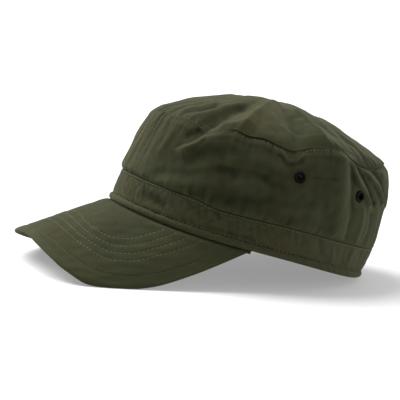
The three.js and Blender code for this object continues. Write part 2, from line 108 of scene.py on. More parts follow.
# Folds. Each row: places along the crest, width before and behind it, height, and where the fold starts from
# nothing, the share of its length over which it rises. On the sides a place is an angle and a rise.
SIDE_FOLDS = [
    ([(28, 0.5), (33, 0.6), (37, 0.71), (39.5, 0.82), (41.5, 0.925), (43, 1.06)], 2.8, 8.5, 3.6, 0.4),
    ([(33, 0.6), (37, 0.71), (39.5, 0.82), (41.5, 0.925), (43, 1.06)], 1.5, 1.8, 0.7, 0.3),
    ([(60, 0.7), (48, 0.62), (36, 0.5), (28, 0.36)], 9, 10, -1.3),
    ([(36, 0.72), (46, 0.84), (60, 0.82)], 6, 6, 0.9),
    ([(39, 1.03), (36, 0.94), (33.5, 0.82)], 4.5, 4.5, -1.5),
    ([(25, 0.95), (22, 0.6), (18, 0.35)], 4, 4, 0.4),
    ([(26, 0.16), (34, 0.25), (44, 0.36), (58, 0.48)], 5.5, 7.5, -1.2),
    ([(54, 0.5), (62, 0.54), (72, 0.55)], 3.0, 5.0, -0.6),
    ([(30, 0.1), (50, 0.25), (72, 0.44)], 6, 6, 0.8),
    ([(46, 0.04), (60, 0.15), (78, 0.3)], 6, 5, -0.9),
    ([(57, 0.66), (66, 0.74), (75, 0.74)], 5, 6, 1.1),
    ([(62, 0.46), (72, 0.5), (80, 0.5)], 4, 5, -0.4),
    ([(84, 0.2), (97, 0.26)], 5, 5, 0.8),
    ([(90, 0.65), (102, 0.67)], 1.2, 1.2, -0.2),
    ([(77, 0.95), (79.5, 0.88), (83.5, 0.88), (86, 0.93)], 1.8, 1.8, 0.6),
    ([(76, 0.88), (80, 0.8), (86, 0.83)], 2.2, 2.2, -0.35),
    ([(104, 1.04), (107, 0.6), (110, 0.1)], 6.0, 8.0, 1.9),
    ([(112, 0.8), (115, 0.5), (117, 0.1)], 5.0, 4.5, -1.5),
    ([(109, 1.04), (115, 0.84), (121, 0.7), (126, 0.58)], 2.2, 3.0, 2.2),
    ([(116, 1.0), (123, 0.8), (131, 0.58)], 2.8, 2.8, -2.0),
    ([(122, 1.0), (131, 0.82), (140, 0.62)], 2.8, 2.8, 2.1),
    ([(129, 1.0), (138, 0.8), (146, 0.6)], 2.8, 3.2, -1.8),
    ([(136, 1.0), (147, 0.8), (152, 0.55)], 3.0, 3.5, 1.2),
    ([(122, 0.46), (124, 0.26), (124, 0.04)], 3.5, 3.5, 1.3),
    ([(130, 0.42), (132, 0.2), (131, 0.02)], 3.5, 3.0, -1.0),
    ([(136, 0.45), (139, 0.22), (141, 0.02)], 4.0, 4.0, 0.9),
    ([(158, 0.3), (150, 0.4)], 26, 26, -2.0),
    ([(144, 0.5), (146, 0.1)], 4.0, 4.0, 1.0),
    ([(10.5, 1.0), (11, 0.05)], 2.6, 2.6, -0.3),
    ([(14, 1.0), (15, 0.25)], 2.4, 2.4, 0.2),
    ([(18, 0.97), (19, 0.35)], 3.0, 3.0, -0.25),
    ([(23, 1.0), (22, 0.5)], 3.0, 3.0, 0.2),
]
# On the top a place is a share of the half width and one of the half length.
TOP_FOLDS = [
    ([(0.58, -0.72), (0.68, -0.62), (0.73, -0.54), (0.7, -0.475), (0.58, -0.39), (0.49, -0.32), (0.32, -0.2)],
     5.0, 8.5, 3.6),
    ([(0.52, -0.68), (0.5, -0.54), (0.34, -0.4)], 9, 7, -3.2),
    ([(0.26, -0.88), (0.24, -0.74), (0.21, -0.58)], 3, 3, 1.3),
    ([(0.39, -0.8), (0.36, -0.66), (0.3, -0.52), (0.22, -0.4)], 3, 3.4, 1.2),
    ([(0.32, -0.84), (0.29, -0.6)], 2.6, 2.6, -1.0),
    ([(0.15, -0.9), (0.12, -0.6)], 3, 3, 0.9),
    ([(0, -0.42), (0.25, -0.42)], 16, 18, -2.4),
    ([(0, 0.08), (0.2, 0.08)], 17, 17, 3.6),
    ([(0, -0.22), (0.2, -0.2)], 14, 14, 2.5),
    ([(0.84, -0.2), (0.72, -0.1), (0.6, -0.06)], 4, 4, 0.9),
    ([(0.9, -0.14), (0.7, -0.1), (0.5, -0.1)], 8, 7, -0.9),
    ([(0.3, -0.06), (0.42, -0.01), (0.55, 0.01), (0.68, 0.03), (0.76, 0.06)], 3.6, 13.0, 3.0, 0.3),
    ([(0.3, -0.06), (0.42, -0.01), (0.55, 0.01), (0.7, 0.035), (0.83, 0.09), (0.9, 0.19)],
     1.8, 1.8, 0.9, 0.3),
    ([(0.7, -0.19), (0.79, -0.08), (0.87, -0.01)], 1.6, 3.0, 0.6),
    ([(0.68, -0.62), (0.73, -0.54), (0.7, -0.475), (0.58, -0.39), (0.49, -0.32), (0.38, -0.24)],
     1.8, 1.8, 0.7, 0.2),
    ([(0.4, 0.14), (0.55, 0.19), (0.7, 0.24), (0.8, 0.34)], 6, 7, -2.4, 0.3),
    ([(0.62, 0.42), (0.74, 0.47)], 3, 3, 1.4),
    ([(0.45, 0.4), (0.62, 0.52)], 4, 4, 1.2),
    ([(0.3, 0.6), (0.5, 0.68)], 5, 5, -0.8),
]
# On the band a place is an angle and a share of the band's height.
BAND_FOLDS = [
    ([(104, 0.95), (107, 0.5), (111, 0.22)], 2.4, 3.0, -0.6),
    ([(112, 0.8), (115, 0.25)], 2.0, 2.0, 0.6),
    ([(119, 0.9), (121, 0.25)], 2.6, 2.6, -0.4),
    ([(126, 0.9), (126, 0.2)], 2.6, 2.6, 0.7),
    ([(134, 0.9), (136, 0.25)], 3.0, 3.0, -0.4),
    ([(143, 0.9), (142, 0.25)], 3.0, 3.0, 0.6),
    ([(46, 0.27), (55, 0.3), (64, 0.36), (74, 0.36), (80, 0.3)], 1.6, 2.2, -0.8),
    ([(26, 0.62), (34, 0.56)], 2.6, 3.2, -0.5),
    ([(22, 0.6), (34, 0.5)], 3.0, 3.0, -0.5),
    ([(57, 0.95), (60, 0.75)], 2.5, 2.5, -0.5),
]
# Stitch rows on the peak, from the side to the middle: angle, and distance from the root. The two rows
# between the outer and the inner one are spread evenly.
PEAK_ROW_OUT = [
    (58, 2), (58, 17), (57, 33), (56, 44), (55, 51), (52, 56), (48, 60), (42, 60), (34, 57), (27, 55),
    (20, 52), (13, 50), (7, 49), (0, 49),
]
PEAK_ROW_IN = [
    (42, 4), (41, 17), (41, 22), (40, 28), (39, 32), (37, 35.5), (34, 37), (30, 37), (25, 36), (20, 35),
    (15, 33.5), (10, 31.5), (5, 30), (0, 29.5),
]
PEAK_ROW_EDGE = [
    (69, 5), (69, 18), (70, 36), (69, 50), (67, 61), (63, 70), (58, 75), (52, 77), (46, 76), (41, 74),
    (35, 72), (29, 69), (20, 65), (0, 62),
]


def follow(rows, column, at):
    """A smooth value between the rows of a table."""
    keys = np.array([r[0] for r in rows], float)
    vals = np.array([r[column] for r in rows], float)
    x = np.clip(np.asarray(at, float), keys[0], keys[-1])
    i = np.clip(np.searchsorted(keys, x, side="left") - 1, 0, len(keys) - 2)
    n = np.arange(len(keys))
    lo, hi = np.maximum(n - 1, 0), np.minimum(n + 1, len(keys) - 1)
    slope = (vals[hi] - vals[lo]) / (keys[hi] - keys[lo])
    step = keys[i + 1] - keys[i]
    s = (x - keys[i]) / step
    rise = vals[i + 1] - vals[i]
    bend = (1 - s) * (slope[i] * step - rise) - s * (slope[i + 1] * step - rise)
    return vals[i] + s * rise + s * (1 - s) * bend


def blend(rows, at, t):
    """A table's value at an angle, from its front, side and back columns."""
    c = np.cos(t)
    ends = np.where(c > 0, follow(rows, 1, at), follow(rows, 3, at))
    return follow(rows, 2, at) * (1 - c * c) + ends * c * c


def hump(d, w):
    """A smooth bump, 1 where d is 0 and nearly gone at twice w."""
    return np.exp(-((d / w) ** 2))


def folds(table, u, v, su, sv):
    """Summed height of a table of folds at (u, v) in mm; su and sv turn the table's numbers into mm.

    A fifth number in a row is the share of its length over which the fold rises from nothing.
    """
    total = np.zeros(np.broadcast(u, v).shape)
    for points, before, behind, height, *fade in table:
        best = np.full(total.shape, 1e9)
        side = np.zeros(total.shape)
        along = np.zeros(total.shape)
        ends = np.array(points, float) * [su, sv]
        run = np.r_[0, np.cumsum(np.hypot(*np.diff(ends, axis=0).T))]
        for i, ((ax, ay), (bx, by)) in enumerate(zip(ends, ends[1:])):
            dx, dy = bx - ax, by - ay
            k = np.clip(((u - ax) * dx + (v - ay) * dy) / (dx * dx + dy * dy), 0, 1)
            ex, ey = u - ax - k * dx, v - ay - k * dy
            d = np.hypot(ex, ey)
            near = d < best
            best = np.where(near, d, best)
            side = np.where(near, (ex * dy - ey * dx) / (d * math.hypot(dx, dy) + 1e-6), side)
            along = np.where(near, (run[i] + k * (run[i + 1] - run[i])) / run[-1], along)
        tall = height * hump(best, before + (behind - before) * (0.5 + 0.5 * side))
        if fade:
            rise = np.clip(along / fade[0], 0, 1)
            tall = tall * rise * rise * (3 - 2 * rise)
        total += tall
    return total


def ripple(u, v, seed, wave, count=14, stretch=1.0):
    """Soft random waves about wave mm long, between about -1 and 1."""
    dice = np.random.default_rng(seed)
    total = np.zeros(np.broadcast(u, v).shape)
    for _ in range(count):
        turn, size = dice.uniform(0, 2 * np.pi), dice.uniform(0.7, 1.5) * 2 * np.pi / wave
        total += np.cos(u * size * math.cos(turn) + v * stretch * size * math.sin(turn) + dice.uniform(0, 7))
    return total / math.sqrt(count)


def oval(t, out, z):
    """Points on the band's oval, moved outwards and up."""
    s, c = np.sin(t), np.cos(t)
    long = np.hypot(A * s, B * c)
    x = B * s + A * s / long * out
    y = -A * c - B * c / long * out
    return np.stack(np.broadcast_arrays(x, y, z), -1)


def degrees(t):
    """The angle that the tables go by, the same on both sides."""
    return np.degrees(np.abs(t))


def rim_z(t):
    """The height of the band's lower rim."""
    return follow(RIM, 1, degrees(t))


def head_out(t):
    """How far the band's upper edge stands out from the oval."""
    return A * blend(SIDE, 0.0, t) - 0.4


def rim_out(t):
    """How far the band's lower rim stands out from the oval."""
    return follow(RIM, 2, degrees(t))


def band_height(t):
    """The band's height over its rim."""
    return BAND + follow(BAND_TOP, 1, degrees(t))


def seam_z(t):
    """The height of the top seam."""
    return CROWN * follow(SEAM, 1, degrees(t))


def seam_out(t):
    """How far the top seam stands out from the oval."""
    return A * blend(SIDE, 1.0, t) + follow(SEAM, 2, degrees(t))


def seam_depth(t):
    """How deep the top seam's crease is."""
    return follow(SEAM_DEPTH, 1, degrees(t))


def stitch_drop(t):
    """How far below the top seam its stitches run."""
    return follow(STITCH_DROP, 1, degrees(t))


def arc(t):
    """The length along the oval."""
    return MEAN_RADIUS * t


def side_xyz(t, r, inward=0.0):
    """The side panels' outside: r is 0 at the band and 1 at the top seam. inward goes into the cloth."""
    hand = np.where(t < 0, -1.0, 1.0)
    foot = band_height(t) + rim_z(t) + GAP
    tall = seam_z(t) - foot
    z = foot + r * tall
    deg = degrees(t) + np.where(t < 0, FAR_SHIFT, 0)
    calm = np.ones(np.broadcast(t, r).shape)
    pit = np.zeros(calm.shape)
    for eyelet_deg in EYELETS.values():
        away = np.hypot((degrees(t) - eyelet_deg) * A * math.pi / 180, z - EYELET_HEIGHT)
        calm *= 1 - 0.9 * np.exp(-((away / 8.5) ** 4))
        pit -= 0.35 * hump(away, 5.5)
    push = folds(SIDE_FOLDS, A * np.radians(deg), r * FOLD_RISE, DEGREE, FOLD_RISE)
    u = arc(t)
    soft = 0.28 * ripple(u, z, 3, 26) + 0.07 * ripple(u, z, 4, 11)
    to_top, to_band = (1 - r) * tall, r * tall
    to_seam = np.minimum(np.abs(np.sin(t)) * SEAM_RADIUS, 60) * np.ones(calm.shape)
    tuck = -0.6 * seam_depth(t) * hump(to_top, 0.9) - 0.3 * hump(to_band, 0.8) - 0.3 * hump(to_seam, 0.7)
    welt = 0.25 * hump(to_top - 4.2, 1.6) - 0.25 * hump(to_seam - SEAM_ROW, 0.6)
    welt -= 0.25 * hump(to_top - stitch_drop(t), 0.55) * seam_depth(t)
    welt += 0.25 * hump(to_seam - 6, 3.5)
    pucker = 0.28 * ripple(u, z * 0.15, 5, 6.5) * np.exp(-to_top / 6.0) * np.minimum(to_top / 1.5, 1)
    pucker += 0.4 * ripple(u, z * 0.15, 6, 8) * np.exp(-to_band / 5.0) * np.minimum(to_band / 2, 1)
    pucker += 0.09 * ripple(u * 0.2 + hand * 40, z, 7, 6.0) * hump(to_seam - 9, 5.5)
    fade = np.minimum(1, np.minimum(to_top, to_band) / 3.0)
    lift = follow(SEAM, 2, degrees(t)) * r**3
    out = A * blend(SIDE, r, t) + lift + (push * calm + soft) * fade + pit + tuck + welt + pucker * calm
    return oval(t, out - inward, z)


def top_xyz(t, q, drop=0.0):
    """The top's outside: q is 0 in the middle and 1 at the seam. drop goes straight down into the cloth."""
    open_seam = 1 - seam_depth(t)
    edge = oval(t, seam_out(t) + 0.2 - 0.3 * open_seam, seam_z(t))
    x = edge[..., 0] * q
    y = TOP_MIDDLE + (edge[..., 1] - TOP_MIDDLE) * q
    even = (follow(TOP, 1, q) + 2 * follow(TOP, 2, q) + follow(TOP, 3, q)) / 4
    k = np.clip(q / 0.45, 0, 1)
    dome = even + (blend(TOP, q, t) - even) * k * k * (3 - 2 * k)
    z = CROWN + (seam_z(t) - CROWN) * q**3 + DOME_FOOT + DOME * dome
    reach = np.hypot(edge[..., 0], edge[..., 1])
    inset = (1 - q) * reach
    # On the far side the folds are lower and stand a little further forward.
    near = np.clip((x + 16) / 16, 0, 1)
    near = near * near * (3 - 2 * near)
    lean = (0.62 + 0.38 * near) * (1 - 0.6 * hump(x + 28, 18))
    shift = 3.0 * (1 - near)
    push = folds(TOP_FOLDS, np.abs(x), y + shift, B, A) * lean
    soft = 0.4 * ripple(x, y, 11, 30) + 0.14 * ripple(x, y, 12, 12)
    pucker = 0.35 * ripple(arc(t), inset * 0.15, 13, 7) * np.exp(-inset / 7.0) * np.minimum(inset / 1.5, 1)
    fade = np.minimum(1, inset / 6.0)
    z = z + (push + soft) * fade + pucker - 0.5 * seam_depth(t) * hump(inset, 0.9) - drop
    z = z - 1.15 * open_seam * hump(inset, 2.6)
    return np.stack([x, y, z], -1)


def band_xyz(t, out, share, inside=0.0):
    """The band: out is its section's own swell, share the height above its foot. The inside has no folds."""
    deg = degrees(t)
    lean = rim_out(t) * (1 - share) + head_out(t) * share
    push = folds(BAND_FOLDS, A * np.radians(deg), share * BAND, DEGREE, BAND)
    u = arc(t)
    soft = 0.16 * ripple(u, share * BAND, 21, 14) + 0.1 * ripple(u, share * BAND, 22, 6)
    open_cloth = np.clip((share - 0.22) / 0.12, 0, 1) * np.clip((0.97 - share) / 0.1, 0, 1)
    rope = 0.2 * ripple(u + share * 20, share * 3, 23, 7) * hump(share - 0.12, 0.1)
    rope = rope + 0.18 * ripple(u, share, 24, 8) * hump(share - 0.24, 0.05)
    wave = 0.15 * ripple(u, share * 0, 25, 9) * hump(share - 0.2, 0.08)
    z = rim_z(t) + share * (BAND + follow(BAND_TOP, 1, deg) * share) + wave
    return oval(t, lean + out + (push + soft) * open_cloth * (inside == 0) + rope * (inside == 0), z)


def peak_xyz(t, w, depth=0.0):
    """A place on the peak: angle of its root, distance out along the peak, depth into it."""
    level = np.zeros(np.broadcast(t, w).shape)
    root = oval(t, level, rim_z(t) - GAP + level)
    deg = np.degrees(t)
    w = w * (1.012 + 0.03 * hump(deg + 18, 16) - 0.07 * hump(deg + 52, 22) - 0.024 * hump(deg - 38, 20))
    n = np.stack(np.broadcast_arrays(
        A * np.sin(t) * math.sin(SLOPE), -B * np.cos(t) * math.sin(SLOPE),
        B * np.cos(t) * math.cos(SLOPE)), -1)
    n = n / np.linalg.norm(n, axis=-1, keepdims=True)
    root[..., 1] -= w * math.cos(SLOPE)
    root[..., 2] -= w * math.sin(SLOPE)
    arch = 3.2 * (1 - np.exp(-np.clip(w, 0, None) / 14)) * hump(deg - 4, 40)
    arch = arch - 2.6 * (1 - np.exp(-np.clip(w, 0, None) / 14)) * hump(np.abs(deg) - 68, 18)
    depth = np.asarray(depth) - arch
    return root - n * np.asarray(depth)[..., None]


def to_row(points):
    """Millimetres in the upright cap to metres in the row frame, leaning back on the floor."""
    c, s = math.cos(LEAN), math.sin(LEAN)
    y, z = points[..., 1], points[..., 2]
    placed = np.stack([points[..., 0], y * c + z * s, -y * s + z * c], -1) + SETTLE
    placed[..., 2] = np.maximum(placed[..., 2], 0.0)
    return placed / 1000.0


def grid_object(name, points, uv, wear_and_painted_light, around, across, caps=()):
    """A mesh from a grid of points; around and across say if the grid closes in each direction."""
    n, m = points.shape[:2]
    i = np.arange(n if around else n - 1)[:, None]
    j = np.arange(m if across else m - 1)[None, :]
    i2, j2 = (i + 1) % n, (j + 1) % m
    quads = np.stack([i * m + j, i2 * m + j, i2 * m + j2, i * m + j2], -1).reshape(-1, 4)
    faces = quads.tolist() + [list(c) for c in caps]
    mesh = bpy.data.meshes.new(name)
    mesh.from_pydata(to_row(points).reshape(-1, 3).tolist(), [], faces)
    mesh.update()
    layer = mesh.uv_layers.new(name="cloth")
    index = np.empty(len(mesh.loops), int)
    mesh.loops.foreach_get("vertex_index", index)
    layer.data.foreach_set("uv", np.asarray(uv, np.float32).reshape(-1, 2)[index].ravel())
    # The per-vertex tone of the cloth: wear, with painted highlights and painted shade.
    painted_light_and_wear = mesh.attributes.new("painted_light_and_wear", "FLOAT", "POINT")
    painted_light_and_wear.data.foreach_set("value", np.asarray(wear_and_painted_light, np.float32).ravel())
    return finish_mesh(name, mesh)


def finish_mesh(name, mesh):
    """A new object in the scene, with its faces turned outwards and shaded smooth."""
    work = bmesh.new()
    work.from_mesh(mesh)
    bmesh.ops.recalc_face_normals(work, faces=work.faces)
    work.to_mesh(mesh)
    work.free()
    mesh.polygons.foreach_set("use_smooth", [True] * len(mesh.polygons))
    mesh.update()
    obj = bpy.data.objects.new(name, mesh)
    bpy.context.scene.collection.objects.link(obj)
    return obj


def crest(p, around=False):
    """How sharply a surface stands proud, from -1 in a hollow to 1 on a crest, for the cloth's tone: crests
    lighter, partly wear and partly painted highlight, and hollows darker, as painted shade.
    """
    across = np.zeros(p.shape[:2])
    for axis in (0, 1):
        for gap in (2, 4):
            ahead, back = np.roll(p, -gap, axis), np.roll(p, gap, axis)
            if not (around and axis == 0):
                edge = [slice(None)] * 2
                edge[axis] = slice(0, gap)
                back[tuple(edge)] = p[tuple(edge)]
                edge[axis] = slice(-gap, None)
                ahead[tuple(edge)] = p[tuple(edge)]
            bend = p - (ahead + back) / 2
            size = np.linalg.norm(ahead - back, axis=-1) + 1e-6
            normal = np.cross(np.gradient(p, axis=0), np.gradient(p, axis=1))
            normal /= np.linalg.norm(normal, axis=-1, keepdims=True) + 1e-9
            outward = p * np.array([1, 1, 0.0]) + np.array([0, 0, 60.0])
            flip = np.sign((normal * outward).sum(-1, keepdims=True))
            across += (bend * normal * flip).sum(-1) / size * 4
    return np.clip(across, -1, 1)


def stitches(name, path, normal, length, gap, width, lift, seed):
    """A row of thread stitches along a path on the cloth, all in mm in the upright cap."""
    dice = np.random.default_rng(seed)
    step = np.linalg.norm(np.diff(path, axis=0), axis=1)
    run = np.r_[0, np.cumsum(step)]
    count = int(run[-1] // (length + gap))
    mids = (np.arange(count) + 0.5) * (length + gap) + dice.normal(0, 0.08, count)
    at = np.stack([np.interp(mids, run, path[:, k]) for k in range(3)], 1)
    ahead = np.stack([
        np.interp(mids + 0.4, run, path[:, k]) - np.interp(mids - 0.4, run, path[:, k]) for k in range(3)], 1)
    up = np.stack([np.interp(mids, run, normal[:, k]) for k in range(3)], 1)
    ahead /= np.linalg.norm(ahead, axis=1, keepdims=True)
    up -= ahead * (up * ahead).sum(1, keepdims=True)
    up /= np.linalg.norm(up, axis=1, keepdims=True)
    cross = np.cross(ahead, up)
    rings, sides = 6, 7
    a = np.linspace(0, np.pi, rings)
    b = np.linspace(0, 2 * np.pi, sides, endpoint=False)
    shape = []
    for x in a:
        round_end = abs(math.sin(x)) ** 0.6
        for y in b:
            shape.append((-math.cos(x) * 0.5, round_end * math.cos(y), round_end * math.sin(y)))
    shape = np.array(shape)
    long = length * dice.uniform(0.82, 1.12, count)[:, None, None]
    wide = width / 2 * dice.uniform(0.85, 1.15, count)[:, None, None]
    p = at[:, None] + up[:, None] * lift + ahead[:, None] * shape[None, :, :1] * long
    p = p + cross[:, None] * shape[None, :, 1:2] * wide + up[:, None] * shape[None, :, 2:3] * wide * 0.8
    faces = []
    for i in range(rings - 1):
        for j in range(sides):
            k = (j + 1) % sides
            faces.append([i * sides + j, i * sides + k, (i + 1) * sides + k, (i + 1) * sides + j])
    faces = (np.array(faces)[None] + (np.arange(count) * rings * sides)[:, None, None]).reshape(-1, 4)
    mesh = bpy.data.meshes.new(name)
    mesh.from_pydata(to_row(p.reshape(-1, 3)).tolist(), [], faces.tolist())
    return finish_mesh(name, mesh)


def surface_path(surface, a, b):
    """Points and outward normals of surface(a, b) along a path of parameters."""
    p = surface(a, b)
    e = 0.004
    du = surface(a + e, b) - surface(a - e, b)
    dv = surface(a, b + e) - surface(a, b - e)
    n = np.cross(du, dv)
    n /= np.linalg.norm(n, axis=1, keepdims=True) + 1e-9
    outward = p * np.array([1, 1, 0.0]) + np.array([0, 0, 30.0])
    n *= np.sign((n * outward).sum(1, keepdims=True))
    return p, n


# The colour sockets of a mix node, in and out.
MIX_FIRST, MIX_SECOND, MIX_RESULT = 6, 7, 2


def feed(tree, made, feeds):
    """Sets a node's inputs, each to a value or to the socket that feeds it."""
    for socket, value in feeds.items():
        if isinstance(value, bpy.types.NodeSocket):
            tree.links.new(value, made.inputs[socket])
        else:
            made.inputs[socket].default_value = value


def node(tree, kind, feeds=None, **settings):
    """A new shader node, set and fed."""
    made = tree.nodes.new(kind)
    for key, value in settings.items():
        setattr(made, key, value)
    feed(tree, made, feeds or {})
    return made


def noise(tree, spot, scale, detail, rough=0.5):
    """Soft noise over the piece, from 0 to 1."""
    feeds = {"Vector": spot, "Scale": scale, "Detail": detail, "Roughness": rough}
    return node(tree, "ShaderNodeTexNoise", feeds).outputs["Fac"]


def times_plus(tree, value, factor, more):
    """value times factor plus more."""
    feeds = {0: value, 1: factor, 2: more}
    return node(tree, "ShaderNodeMath", feeds, operation="MULTIPLY_ADD").outputs[0]


def mixed(tree, share, first, second, **settings):
    """The first colour mixed with a share of the second."""
    feeds = {"Factor": share, MIX_FIRST: first, MIX_SECOND: second}
    return node(tree, "ShaderNodeMix", feeds, data_type="RGBA", **settings).outputs[MIX_RESULT]


def bumpy(tree, height, strength, distance, under=None):
    """A rough surface, distance metres high, over the one under it."""
    feeds = {"Height": height, "Strength": strength, "Distance": distance}
    if under:
        feeds["Normal"] = under
    return node(tree, "ShaderNodeBump", feeds).outputs["Normal"]


def threads(tree, direction, feeds):
    """Parallel threads along the cloth."""
    return node(tree, "ShaderNodeTexWave", feeds, wave_type="BANDS", bands_direction=direction).outputs["Fac"]


def blank_material(name):
    """A material with its node tree, its shader and the place on the piece in metres."""
    mat = bpy.data.materials.new(name)
    mat.use_nodes = True
    tree = mat.node_tree
    return mat, tree, tree.nodes["Principled BSDF"], node(tree, "ShaderNodeTexCoord").outputs["Object"]


def cloth_material(name, dark, light):
    """Washed cotton twill: two tones, a fine weave, fuzz, and rubbed crests with painted highlights and
    painted shade from a per-vertex tone.
    """
    mat, tree, skin, spot = blank_material(name)
    # The per-vertex tone lightens and darkens the cloth: wear, with painted highlights and painted shade.
    rubbed_and_painted_light = node(tree, "ShaderNodeAttribute", attribute_name="painted_light_and_wear").outputs["Fac"]
    blotches = times_plus(tree, noise(tree, spot, 34, 5, 0.62), 1.5, -0.28)
    flecks = times_plus(tree, noise(tree, spot, 520, 3), 0.5, blotches)
    tone = times_plus(tree, rubbed_and_painted_light, 1.0, flecks)
    share = node(tree, "ShaderNodeClamp", {"Value": tone}).outputs[0]
    plain = mixed(tree, share, (*dark, 1), (*light, 1))
    feeds = {"Value": noise(tree, spot, 22, 3), "From Min": 0.45, "From Max": 0.68}
    patches = node(tree, "ShaderNodeMapRange", feeds).outputs["Result"]
    colour = mixed(tree, patches, plain, WARM_PATCH, blend_type="MULTIPLY")
    uv = node(tree, "ShaderNodeUVMap", uv_map="cloth").outputs["UV"]
    twill = threads(tree, "DIAGONAL", {"Vector": uv, "Scale": 0.62, "Distortion": 0.6, "Detail": 1})
    yarn = threads(tree, "Y", {"Vector": uv, "Scale": 0.55, "Distortion": 0.8})
    weave = bumpy(tree, times_plus(tree, yarn, 0.5, twill), 0.35, 0.00018)
    crumple = bumpy(tree, noise(tree, spot, 110, 4), 0.35, 0.0012, weave)
    feed(tree, skin, {
        "Base Color": colour, "Normal": crumple, "Roughness": 0.92, "Specular IOR Level": 0.1,
        "Sheen Weight": 0.1, "Sheen Roughness": 0.5, "Sheen Tint": (0.7, 0.72, 0.45, 1)})
    return mat


def plain_material(name, colour, rough, bump=0.0, scale=400.0, spread=0.28, more=None):
    """A slightly uneven colour and gloss; more gives further values of the shader."""
    mat, tree, skin, spot = blank_material(name)
    grain = noise(tree, spot, scale, 3)
    darker = (*[c * (1 - spread) for c in colour], 1)
    lighter = (*[c * (1 + spread) for c in colour], 1)
    feed(tree, skin, {
        "Base Color": mixed(tree, grain, darker, lighter),
        "Roughness": times_plus(tree, grain, 0.2, rough - 0.1), **(more or {})})
    if bump:
        feed(tree, skin, {"Normal": bumpy(tree, grain, bump, 0.0003)})
    return mat


WARM_PATCH = (1.12, 0.98, 0.9, 1)
crown_cloth = cloth_material("crown_cloth", (0.0146, 0.0157, 0.0067), (0.0325, 0.035, 0.0163))
band_cloth = cloth_material("band_cloth", (0.0166, 0.0175, 0.0076), (0.0375, 0.0397, 0.0195))
peak_cloth = cloth_material("peak_cloth", (0.0155, 0.0176, 0.0076), (0.0365, 0.0415, 0.0198))
thread = plain_material("thread", (0.135, 0.132, 0.08), 0.8)
dark_thread = plain_material("dark_thread", (0.09, 0.09, 0.05), 0.85)
black_metal = plain_material(
    "black_metal", (0.0032, 0.003, 0.0026), 0.6, bump=0.5, scale=900, more={"Specular IOR Level": 0.045})

# The stitches of each row, in millimetres, and the seed of their small differences.
SEAM_STITCH = {"length": 1.9, "gap": 1.1, "width": 0.42, "lift": 0.05, "seed": 31}
UPRIGHT_STITCH = {"length": 2.0, "gap": 1.1, "width": 0.42, "lift": 0.05, "seed": 33}
TOP_EDGE_STITCH = {"length": 1.9, "gap": 1.2, "width": 0.36, "lift": 0.04, "seed": 35}
BAND_STITCH = {"length": 2.0, "gap": 1.2, "width": 0.45, "lift": 0.05, "seed": 41}
HEM_STITCH = {"length": 1.6, "gap": 1.9, "width": 0.45, "lift": 0.05, "seed": 42}
PEAK_STITCH = {"length": 2.1, "gap": 1.25, "width": 0.37, "lift": 0.03, "seed": 61}
PEAK_EDGE_STITCH = {**PEAK_STITCH, "width": 0.34}

# An eyelet's section, from its inner foot and round: distance from its axis, and height over the cloth.
EYELET_SECTION = [
    (2.25, -2.9), (3.7, -2.9), (3.85, -2.6), (3.7, -2.2), (2.85, -2.1), (2.85, 0.15), (4.4, 0.1),
    (4.75, 0.25), (4.8, 0.5), (4.6, 0.85), (4.1, 1.1), (3.5, 1.15), (2.9, 1.0), (2.5, 0.7), (2.3, 0.2),
    (2.25, -0.6),
]
EYELET_SIDES = 56
# The hole in the cloth behind an eyelet, in metres.
HOLE_RADIUS, HOLE_DEPTH = 0.0031, 0.02
# The side panels end this far, in radians, from the middle seams.
SEAM_SLIT = 0.0002


def place(obj, material, slot, *nodes):
    """Gives a piece its material and body, and hides the nodes that it stands for. slot is not used."""
    obj.data.materials.append(material)
    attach(obj, "root")
    if nodes:
        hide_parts(*nodes)
    return obj


def make_side(hand, name):
    """A side panel: its outside, its laps under the top and behind the band, and its inside."""
    columns, rows = 420, 96
    t = hand * np.linspace(SEAM_SLIT, math.pi - SEAM_SLIT, columns)[:, None]
    r = 0.5 - 0.5 * np.cos(np.linspace(0, np.pi, rows))
    r = (0.35 * r + 0.65 * np.linspace(0, 1, rows))[None, :]
    outer = side_xyz(t, r)
    foot = band_height(t) + rim_z(t)
    behind = head_out(t) - TUCK_IN
    low = rim_out(t) * 0.25 + head_out(t) * 0.75 - TUCK_IN
    hem = np.concatenate([
        oval(t, low - SIDE_WALL, foot - TUCK_DOWN), oval(t, low, foot - TUCK_DOWN),
        oval(t, behind, foot + 0.2)], 1)
    flange = np.concatenate([
        oval(t, seam_out(t) - SIDE_WALL, seam_z(t) - 0.1), oval(t, seam_out(t) - LAP, seam_z(t) - 0.1),
        oval(t, seam_out(t) - LAP, seam_z(t) - LAP_DROP)], 1)
    inner = side_xyz(t, np.linspace(0.96, 0.06, 22)[None, :], SIDE_WALL)
    cuff = oval(t, behind - SIDE_WALL, foot + 2.4)
    loop = np.concatenate([hem, outer, flange, inner, cuff], 1)
    n, m = loop.shape[:2]
    wear_and_painted_light = np.zeros((n, m))
    # Painted light on the side: a painted highlight low on the back round 123 degrees, and darker round 64
    # degrees.
    painted_light_zone = 0.9 * hump(degrees(t) - 123, 12) * (1 - r) - 0.22 * hump(degrees(t) - 64, 36)
    first = hem.shape[1]
    wear_and_painted_light[:, first:first + rows] = crest(outer) + painted_light_zone
    v = np.concatenate([np.linalg.norm(np.diff(loop, axis=1), axis=-1), np.zeros((n, 1))], 1)
    v = np.cumsum(v, 1) - v
    uv = np.stack([np.broadcast_to(arc(t), (n, m)), v], -1)
    caps = [list(range(m)), list(range((n - 1) * m, n * m))]
    return grid_object(name, loop, uv, wear_and_painted_light, False, True, caps)


def standing(point, normal):
    """Where an upright thing goes so that it stands on the cloth at a point."""
    turn = Vector((0, 0, 1)).rotation_difference(Vector(normal))
    return Matrix.Translation(Vector(point)) @ turn.to_matrix().to_4x4()


